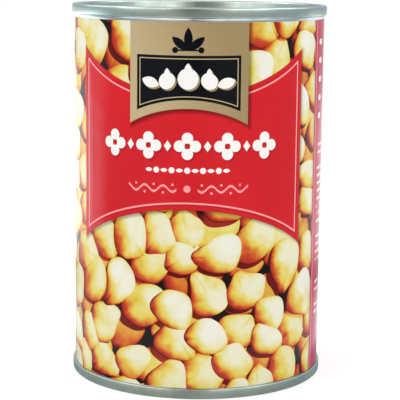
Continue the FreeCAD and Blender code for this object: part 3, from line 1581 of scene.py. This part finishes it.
@dataclass
class CanEnd:
    """A stamped end: ringed panel, countersink, chuck wall and the double seam. Lengths are in metres.

    Attributes:
        side: Which end it is.
        plate: Thickness of the sheet.
        seam_height: Height of the double seam.
        seam_thickness: From the chuck wall to the seam's face.
        seam_overhang: How far the seam stands out from the body.
        crown_radius: Rounding of the seam's crown.
        lip_radius: Rounding of the lower edge of the seam's face.
        hem_radius: Rounding of its lower edge next to the body.
        hook_widening: How much wider than the body the seam's hollow is at its top.
        hook_height: How high the hollow reaches over the seam's lower edge.
        hook_reach: How far the end reaches in over the body's edge.
        head_tilt: How far the seam's face looks up under the crown, in degrees.
        foot_tilt: How far it looks up over the lip, in degrees.
        countersink_depth: Depth of the groove inside the seam, under the crown.
        countersink_width: Width of the groove.
        chuck_lean: How far the chuck wall leans outwards, in degrees.
        panel_depth: Depth of the panel under the crown.
        flat_radius: Radius of the flat in the panel's middle that is kept plain.
        ring_step: Height of a ring pressed in the panel.
        ring_step_width: Width of a ring's slope.
        ring_insets: From the groove to the start of each slope.
        slope_steps: How many straight pieces a slope is made of.
    """

    side: Side
    plate: float = 0.22 * MM
    seam_height: float = 2.9 * MM
    seam_thickness: float = 1.35 * MM
    seam_overhang: float = 0.90 * MM
    crown_radius: float = 0.58 * MM
    lip_radius: float = 0.24 * MM
    hem_radius: float = 0.12 * MM
    hook_widening: float = 0.08 * MM
    hook_height: float = 0.9 * MM
    hook_reach: float = 0.2 * MM
    head_tilt: float = 5.0
    foot_tilt: float = -5.0
    countersink_depth: float = 4.3 * MM
    countersink_width: float = 1.5 * MM
    chuck_lean: float = 4.0
    panel_depth: float = 3.1 * MM
    flat_radius: float = 3.0 * MM
    ring_step: float = 0.65 * MM
    ring_step_width: float = 1.3 * MM
    ring_insets: tuple[float, ...] = (3.0 * MM, 6.6 * MM, 11.8 * MM, 19.0 * MM)
    slope_steps: int = 8

    def panel(self, groove_inner: float) -> list[Point]:
        """The panel's upper face from the axis to the groove's floor, with the crown at height 0.

        Args:
            groove_inner: Inner radius of the groove.

        Returns:
            Points of radius and height, going outwards.
        """
        level, other = -self.panel_depth, -self.panel_depth - self.ring_step
        points = [(0.0, level), (self.flat_radius, level)]
        for inset in reversed(self.ring_insets):
            points += self.slope(groove_inner - inset, self.ring_step_width, level, other)
            level, other = other, level
        return points + self.slope(groove_inner, self.countersink_width / 2, level, -self.countersink_depth)

    def slope(self, start: float, width: float, level: float, other: float) -> list[Point]:
        """A smooth step between two levels, going outwards.

        Args:
            start: Radius at which it starts.
            width: Its width.
            level: Height at its start.
            other: Height at its end.

        Returns:
            Points of radius and height, both ends included.
        """
        shares = [step / self.slope_steps for step in range(self.slope_steps + 1)]
        return [(start + width * t, level + (other - level) * t * t * (3 - 2 * t)) for t in shares]

    def seam_face(self, seam_radius: float) -> list[Point]:
        """The seam's rounded crown, its slightly bulged face and the lip below, with the crown at height 0.

        Args:
            seam_radius: Radius over the seam.

        Returns:
            Points of radius and height, going down.
        """
        crown, lip = self.crown_radius, self.lip_radius
        head, foot = math.radians(self.head_tilt), math.radians(self.foot_tilt)
        top = crown * (math.sin(head) - 1.0)
        bottom = lip * (1.0 + math.sin(foot)) - self.seam_height
        bulge = (top - bottom) / (math.sin(head) - math.sin(foot))
        middle = (seam_radius - bulge, top - bulge * math.sin(head))
        reach_top = middle[0] + (bulge - crown) * math.cos(head)
        reach_foot = middle[0] + (bulge - lip) * math.cos(foot)
        points = arc((reach_top, -crown), crown, 90, self.head_tilt, 8)
        points += arc(middle, bulge, self.head_tilt, self.foot_tilt, 8)[1:-1]
        return points + arc((reach_foot, lip - self.seam_height), lip, self.foot_tilt, -90, 8)

    def seam_hollow(self, body_radius: float) -> list[Point]:
        """The seam's hollow over the body's edge, with the crown at height 0.

        Args:
            body_radius: Outer radius of the body.

        Returns:
            Points of radius and height, going up.
        """
        foot, hem = -self.seam_height, self.hem_radius
        head = foot + self.hook_height
        points = arc((body_radius + hem, foot + hem), hem, -90, -180, 4)
        return points + [(body_radius + self.hook_widening, head), (body_radius - self.hook_reach, head)]

    def outline(self, seam_radius: float) -> list[Point]:
        """The closed outline of the end and its seam, with the crown at height 0.

        Args:
            seam_radius: Radius over the seam.

        Returns:
            Points of radius and height, out along the upper face and back underneath.
        """
        body_radius = seam_radius - self.seam_overhang
        chuck_radius = seam_radius - self.seam_thickness
        groove_outer = chuck_radius - self.countersink_depth * math.tan(math.radians(self.chuck_lean))
        crown, corner = self.crown_radius, self.countersink_width / 3
        floor = -self.countersink_depth
        panel = self.panel(groove_outer - self.countersink_width)
        groove = arc((groove_outer - corner, floor + corner), corner, -90, -self.chuck_lean, 6)
        shoulder = arc((chuck_radius + crown, -crown), crown, 180 - self.chuck_lean, 90, 8)
        seam = self.seam_face(seam_radius) + self.seam_hollow(body_radius)
        under = [(radius, height - self.plate) for radius, height in reversed(panel)]
        turn_in = [(body_radius - self.hook_reach, floor - self.plate)]
        return panel + groove + shoulder + seam + turn_in + under + panel[:1]

    def build(self, finish: bpy.types.Material) -> bpy.types.Object:
        """Builds and dresses the end.

        Args:
            finish: Its material.

        Returns:
            The piece.
        """
        node, way = self.side.value
        low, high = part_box(node)
        crown = high.z if way > 0 else low.z
        seam_radius = min(high.x, high.y, -low.x, -low.y)
        outline = [(radius, crown + way * height) for radius, height in self.outline(seam_radius)]
        piece = turned_piece(node.replace("_end", "_lid"), outline)
        shade_piece(piece, 40.0)
        settle(piece, node, [finish])
        return piece


def bell(value: float, middle: float, width: float) -> float:
    """1 at the middle, falling off smoothly on both sides."""
    return math.exp(-(((value - middle) / width) ** 2))


def between(value: float, low: float, high: float, soft: float) -> float:
    """1 between two limits, falling to 0 at them."""
    return max(0.0, min(1.0, (value - low) / soft, (high - value) / soft))


@dataclass(frozen=True)
class PaperWaves:
    """How the glued paper stands off the tin: a crease, a buckle and slight waves. In millimetres."""

    crease_along: float = -32.5
    crease_width: float = 1.1
    crease_ends: Span = (44.0, 98.0)
    crease_soft: float = 8.0
    crease_height: float = 0.07
    buckle_along: float = -29.5
    buckle_up: float = 80.0
    buckle_width: float = 4.0
    buckle_length: float = 9.0
    buckle_height: float = 0.06
    broad_height: float = 0.03
    cockle_height: float = 0.04

    def height(self, along: float, up: float) -> float:
        """How far the paper stands off at a point.

        Args:
            along: Place along the label, from the front's middle.
            up: Place up the can.

        Returns:
            The height over the glued sheet.
        """
        crease = bell(along, self.crease_along, self.crease_width)
        crease *= between(up, *self.crease_ends, self.crease_soft)
        buckle = bell(along, self.buckle_along, self.buckle_width)
        buckle *= bell(up, self.buckle_up, self.buckle_length)
        ripple = buckle * (0.5 + 0.5 * math.sin(up * 0.75 + along * 0.35))
        broad = 0.5 + 0.5 * math.sin(along * 0.19 + 1.3) * math.sin(up * 0.055 + 0.4)
        cockle = math.sin(along * 0.37 + 1.6 * math.sin(up * 0.085)) * math.sin(up * 0.21 + along * 0.11)
        waves = broad * self.broad_height + (0.5 + 0.5 * cockle) * self.cockle_height
        return crease * self.crease_height + ripple * self.buckle_height + waves


@dataclass
class PaperLabel:
    """The wrapped paper label, glued over its own start at the back.

    Attributes:
        thickness: Thickness of the paper, in metres.
        lap_bearing: Where the free edge is, in degrees round from the front.
        lap_length: How far the sheet laps over its start, in metres.
        lap_margin: How far the lifted paper runs on past the lap, in degrees.
        lap_ease: Over how many degrees it comes down.
        step_width: Width of the step at the free edge, in degrees.
        edge_slack: How far before the free edge a face still counts as past it, in degrees.
        columns: How many faces there are round the axis.
        rows: How many faces there are up the label.
        waves: How the glued sheet stands off.
        sheet_map: Name of the map that the print reads.
        bake_map: Name of the map that gives every face a place of its own.
        bake_face_foot: Where the printed face starts on that map, over the strip for the raw faces.
        bake_edge: Where the raw faces start on it, their height, and the room for the paper's thickness.
    """

    thickness: float = 0.12 * MM
    lap_bearing: float = 154.0
    lap_length: float = 8.0 * MM
    lap_margin: float = 0.5
    lap_ease: float = 1.5
    step_width: float = 0.02
    edge_slack: float = 0.01
    columns: int = 480
    rows: int = 64
    waves: PaperWaves = PaperWaves()
    sheet_map: str = "sheet_mm"
    bake_map: str = "OFBake"
    bake_face_foot: float = 0.04
    bake_edge: tuple[float, float, float] = (0.003, 0.012, 0.008)

    def build(self, printed_face: bpy.types.Material, raw: bpy.types.Material) -> bpy.types.Object:
        """Builds and dresses the label.

        Args:
            printed_face: The material of the printed face.
            raw: The material of the paper's back and edges.

        Returns:
            The piece.
        """
        low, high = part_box("paper_label")
        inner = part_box("can_body")[1].x
        outer = inner + self.thickness
        rise = (high.z - low.z) / self.rows
        wall = [(outer, low.z + rise * row) for row in range(self.rows + 1)]
        outline = [(inner, low.z)] + wall + [(inner, high.z), (inner, low.z)]
        piece = turned_piece("printed_label", outline, self.columns)
        self.cut_free_edge(piece)
        self.shape_paper(piece, inner)
        self.map_sheet(piece, inner, low.z, high.z)
        shade_piece(piece, 30.0)
        settle(piece, "paper_label", [printed_face, raw])
        return piece

    def cut_free_edge(self, piece: bpy.types.Object) -> None:
        """Adds a column of edges close beside the lap's free edge, so that the step there is crisp.

        Args:
            piece: The label.
        """
        turn = math.radians(self.lap_bearing - self.step_width)
        half_face = 180.0 / self.columns
        take_up(piece)
        for face in piece.data.polygons:
            away = turn_by(bearing_of(face.center.x, face.center.y) - (self.lap_bearing - half_face))
            face.select = abs(away) < half_face
        bpy.ops.object.mode_set(mode="EDIT")
        across = (math.cos(turn), math.sin(turn), 0.0)
        bpy.ops.mesh.bisect(plane_co=(0, 0, 0), plane_no=across, use_fill=False)
        bpy.ops.object.mode_set(mode="OBJECT")

    def shape_paper(self, piece: bpy.types.Object, inner: float) -> None:
        """Lifts the lap by one thickness, and gives the sheet its slight waves and creases.

        Args:
            piece: The label.
            inner: Radius of the label's back, in metres.
        """
        outer = inner + self.thickness
        lap_end = math.degrees(self.lap_length / outer) + self.lap_margin
        for vertex in piece.data.vertices:
            radius = math.hypot(vertex.co.x, vertex.co.y)
            if radius < inner + self.thickness / 2:
                continue
            bearing = bearing_of(vertex.co.x, vertex.co.y)
            past = (bearing - self.lap_bearing) % 360.0
            lift = self.thickness * min(1.0, max(0.0, (lap_end - past) / self.lap_ease))
            lift += self.waves.height(math.radians(bearing) * outer / MM, vertex.co.z / MM) * MM
            swell(vertex, (radius + lift) / radius)

    def map_sheet(self, piece: bpy.types.Object, inner: float, foot: float, head: float) -> None:
        """Lays out the label's two maps and gives the printed face its material.

        Args:
            piece: The label.
            inner: Radius of the label's back, in metres.
            foot: Height of its lower edge.
            head: Height of its upper edge.
        """
        mesh = piece.data
        sheet = mesh.uv_layers.new(name=self.sheet_map)
        bake = mesh.uv_layers.new(name=self.bake_map)
        around = math.tau * (inner + self.thickness) / MM
        start = (self.lap_bearing - 360.0) / 360.0 * around
        edge_start, edge_height, edge_room = self.bake_edge
        for face in mesh.polygons:
            outward = Vector((face.center.x, face.center.y, 0.0)).normalized().dot(face.normal)
            bearing = bearing_of(face.center.x, face.center.y)
            past = (bearing - self.lap_bearing + self.edge_slack) % 360.0
            on_step = past > 360.0 - 5.0 * self.step_width
            face.material_index = 0 if outward > 0.7 and not on_step else 1
            for corner in face.loop_indices:
                co = mesh.vertices[mesh.loops[corner].vertex_index].co
                share = past / 360.0 + turn_by(bearing_of(co.x, co.y) - bearing) / 360.0
                up = (co.z - foot) / (head - foot)
                out = min((math.hypot(co.x, co.y) - inner) / self.thickness, 1.0)
                on_face = self.bake_face_foot + (1.0 - self.bake_face_foot) * up
                on_edge = edge_start + edge_height * up + edge_room * out
                sheet.data[corner].uv = (start + share * around, co.z / MM)
                bake.data[corner].uv = (share, on_edge if face.material_index else on_face)
        mesh.uv_layers.active = bake
        bake.active_render = True


# ------------------------------------------------------------------------------------------- studio


WHITE_LIGHT: Colour = (1.0, 1.0, 1.0, 1.0)
MIRRORED_MIDDLE: Colour = (0.97, 1.0, 0.96, 1.0)
MIRRORED_SIDES: Colour = (0.82, 0.93, 1.0, 1.0)
MIRRORED_FAR_SIDES: Colour = (0.76, 0.93, 1.08, 1.0)


@dataclass(frozen=True)
class StudioFloor:
    """A plain pale floor: white where it is lit, with the can's shadow left on it.

    What the can mirrors of it is dim at the can's foot, with a pale ring round that, and palest behind
    the can. An edge, start, end or run is in metres from the can's axis, and a turn is the share of
    that distance that lies to the side or the back. Each says where an effect starts and is full.
    """

    radius: float = 9.0
    foot_edge: Span = (0.045, 0.060)
    foot_glow: float = 0.40
    ring_edge: Span = (0.09, 0.15)
    ring_glow: float = 1.15
    ring_gap: Span = (0.02, 0.13)
    gap_glow: float = 0.15
    front_turn: Span = (0.08, 0.32)
    front_glow: float = 0.27
    side_glow: float = 0.20
    flank_start: Span = (0.13, 0.22)
    flank_turn: Span = (-0.25, 0.15)
    flank_glow: float = 1.45
    flank_end: Span = (0.55, 1.2)
    flank_fading: float = 0.45
    right_narrowing: float = 0.32
    right_dimming: float = 0.25
    glare_start: Span = (0.20, 0.35)
    glare_end: Span = (0.80, 1.4)
    glare_glow: float = 0.75
    open_run: Span = (0.20, 0.90)
    side_turn: Span = (0.5, 0.95)

    def build(self) -> None:
        """Lays the floor."""
        bare_selection()
        middle = (0.0, 0.0, 0.0)
        bpy.ops.mesh.primitive_circle_add(
            vertices=96, radius=self.radius, fill_type="NGON", location=middle
        )
        floor = bpy.context.object
        floor.name = "studio_floor"
        floor.data.materials.append(self.material())

    def material(self) -> bpy.types.Material:
        """Builds the floor's material.

        Returns:
            The material.
        """
        material, tree, shader = new_material("studio_floor")
        shader.inputs["Roughness"].default_value = 0.9
        shader.inputs["Specular IOR Level"].default_value = 0.0
        x, y, _ = object_place(tree)
        path = tree.nodes.new("ShaderNodeLightPath")
        seen = Value(tree, path.outputs["Is Camera Ray"])
        mirrored = Value(tree, path.outputs["Is Glossy Ray"])
        away = length(x, y)
        sideways = abs(x) / away.most(0.01)
        shown = self.mirrored_glow(x, y, away, sideways)
        # where the floor is open, its own glow takes the place of the lamps' light
        open_floor = away.rise(*self.open_run)
        lit = (1.0 - mirrored) * (0.80 - seen * (0.35 + open_floor * 0.45))
        plug(tree, lit, shader.inputs["Base Color"])
        cool = blend(sideways.rise(*self.side_turn), MIRRORED_MIDDLE, MIRRORED_SIDES, tree)
        plug(tree, blend(mirrored, WHITE_LIGHT, cool, tree), shader.inputs["Emission Color"])
        plug(tree, seen * (0.60 + open_floor * 0.40) + mirrored * shown, shader.inputs["Emission Strength"])
        return material

    def mirrored_glow(self, x: Value, y: Value, away: Value, sideways: Value) -> Value:
        """How bright the floor is in the can's mirroring metal.

        Args:
            x: Place to the right.
            y: Place to the back.
            away: Distance from the can's axis.
            sideways: Share of that distance that lies to one side.

        Returns:
            The brightness.
        """
        gap = sideways.rise(*self.ring_gap) * (1.0 - self.gap_glow) + self.gap_glow
        past_foot = away.rise(*self.foot_edge)
        ring = past_foot * gap * self.ring_glow
        near = (1.0 - away.rise(*self.ring_edge)) * past_foot
        front = sideways.rise(*self.front_turn) * self.side_glow + self.front_glow
        foot = 1.0 - past_foot
        right = x.above(0.0)
        behind = (y / away.most(0.01) - right * self.right_narrowing).rise(*self.flank_turn)
        strength = self.flank_glow - right * self.right_dimming
        fading = 1.0 - away.rise(*self.flank_end) * self.flank_fading
        glare_span = away.rise(*self.glare_start) * (1.0 - away.rise(*self.glare_end))
        glare = glare_span * (1.0 - right) * self.glare_glow
        flank = behind * (away.rise(*self.flank_start) * strength * fading + glare)
        return flank.most(near * ring + foot * self.foot_glow + front * (1.0 - near) * (1.0 - foot))


CAN_MIDDLE = Vector((0.0, 0.0, 0.055))


@dataclass(frozen=True)
class SoftLamp:
    """A large square lamp that looks at the can's middle."""

    name: str
    place: tuple[float, float, float]
    size: float
    power: float
    mirrored: bool = True

    def hang(self) -> None:
        """Adds the lamp."""
        data = bpy.data.lights.new(self.name, "AREA")
        data.shape = "SQUARE"
        data.size = self.size
        data.energy = self.power
        lamp = bpy.data.objects.new(self.name, data)
        bpy.context.scene.collection.objects.link(lamp)
        lamp.location = self.place
        aim = CAN_MIDDLE - Vector(self.place)
        lamp.rotation_euler = aim.to_track_quat("-Z", "Y").to_euler()
        lamp.visible_glossy = self.mirrored


LAMPS = (
    SoftLamp("lamp_left", (-0.75, -0.68, 0.72), 1.00, 4.4),
    SoftLamp("lamp_right", (0.75, -0.68, 0.72), 1.00, 4.4),
    SoftLamp("lamp_side_left", (-0.85, 0.25, 0.80), 0.80, 3.2),
    SoftLamp("lamp_side_right", (0.85, 0.25, 0.80), 0.80, 2.4),
    SoftLamp("lamp_over", (0.0, 0.15, 1.10), 1.20, 4.8, mirrored=False),
)


@dataclass(frozen=True)
class Surroundings:
    """A white room for what is seen, a dimmer one for lighting, and one in parts for what is mirrored.

    A span gives where an effect starts and where it is full, as a share of the way to the side, to
    the back or up.
    """

    front_glow: float = 0.09
    side_turn: Span = (0.08, 0.34)
    side_glow: float = 0.34
    far_side_turn: Span = (0.4, 0.9)
    far_side_glow: float = 0.10
    back_turn: Span = (0.60, 1.0)
    back_glow: float = 0.70
    ceiling_turn: Span = (0.28, 0.75)
    ceiling_glow: float = 0.72
    ambient: float = 0.50
    cool_turn: Span = (0.5, 0.95)
    cool_end: Span = (0.25, 0.60)

    def build(self) -> None:
        """Sets the room round the scene."""
        world = bpy.data.worlds.new("studio")
        bpy.context.scene.world = world
        world.use_nodes = True
        tree = world.node_tree
        tree.nodes.clear()
        x, y, z = parts(Value(tree, tree.nodes.new("ShaderNodeTexCoord").outputs["Generated"]))
        level = length(x, y).most(0.01)
        path = tree.nodes.new("ShaderNodeLightPath")
        mirrored = Value(tree, path.outputs["Is Glossy Ray"])
        through = Value(tree, path.outputs["Is Transmission Ray"])
        seen = Value(tree, path.outputs["Is Camera Ray"]).most(through)
        sideways = (abs(x) / level).most(y.above(0.0))
        side = sideways.rise(*self.side_turn) * self.side_glow
        front = side + sideways.rise(*self.far_side_turn) * self.far_side_glow + self.front_glow
        behind = (y / level).rise(*self.back_turn) * self.back_glow
        above = z.rise(*self.ceiling_turn) * self.ceiling_glow
        shown = above.most(behind.most(front))
        strength = seen + mirrored * shown + (1.0 - seen.most(mirrored)) * self.ambient
        cool_share = sideways.rise(*self.cool_turn) * (1.0 - z.rise(*self.cool_end))
        cool = blend(cool_share, MIRRORED_MIDDLE, MIRRORED_FAR_SIDES, tree)
        background = tree.nodes.new("ShaderNodeBackground")
        plug(tree, blend(mirrored, WHITE_LIGHT, cool, tree), background.inputs["Color"])
        plug(tree, strength, background.inputs["Strength"])
        end = tree.nodes.new("ShaderNodeOutputWorld")
        tree.links.new(background.outputs[0], end.inputs["Surface"])


@dataclass(frozen=True)
class StudioCamera:
    """The camera, a little to the right of the front and above the rim, looking slightly down."""

    distance: float = 428.35 * MM
    eye_height: float = 122.51 * MM
    azimuth: float = 4.6
    pitch: float = 9.442
    yaw: float = 0.0974
    roll: float = 0.613
    focal_length: float = 128.35

    def build(self) -> None:
        """Sets up the camera."""
        data = bpy.data.cameras.new("camera")
        data.sensor_width = 36.0
        data.lens = self.focal_length
        data.clip_start, data.clip_end = 0.01, 50.0
        camera = bpy.data.objects.new("camera", data)
        bpy.context.scene.collection.objects.link(camera)
        turn = math.radians(self.azimuth)
        back = Vector((math.sin(turn), -math.cos(turn), 0.0))
        level = Matrix.Rotation(-math.radians(self.yaw), 3, "Z") @ (-back)
        tilt = math.radians(self.pitch)
        forward = level * math.cos(tilt) - Vector((0.0, 0.0, math.sin(tilt)))
        right = forward.cross(Vector((0.0, 0.0, 1.0))).normalized()
        right = Matrix.Rotation(-math.radians(self.roll), 3, forward) @ right
        up = right.cross(forward)
        pose = Matrix((right, up, -forward)).transposed().to_4x4()
        pose.translation = back * self.distance + Vector((0.0, 0.0, self.eye_height))
        camera.matrix_world = pose
        bpy.context.scene.camera = camera


def set_studio() -> None:
    """Builds everything that isn't the can."""
    StudioFloor().build()
    for lamp in LAMPS:
        lamp.hang()
    Surroundings().build()
    StudioCamera().build()
    bpy.context.scene.view_settings.view_transform = "Standard"


def main() -> None:
    """Builds the can, piece by piece, and the studio round it."""
    logging.basicConfig(level=logging.INFO, format="%(name)s: %(message)s")
    marks = HandlingMarks().group()
    body_tin = Tinplate("bright_tinplate", ink(218, 224, 226), ink(194, 200, 204), 0.13, 0.26, 0.003 * MM)
    end_tin = Tinplate("satin_tinplate", ink(205, 215, 205), ink(184, 195, 186), 0.26, 0.38, 0.004 * MM)
    TinBody().build(body_tin.material(marks))
    end_finish = end_tin.material(marks)
    CanEnd(Side.TOP, lip_radius=0.52 * MM, foot_tilt=-7.0).build(end_finish)
    CanEnd(Side.BOTTOM).build(end_finish)
    PaperLabel().build(PrintedPaper().material(marks, PaperLabel.sheet_map), RawPaper().material(marks))
    set_studio()


if __name__ == "__main__":
    main()
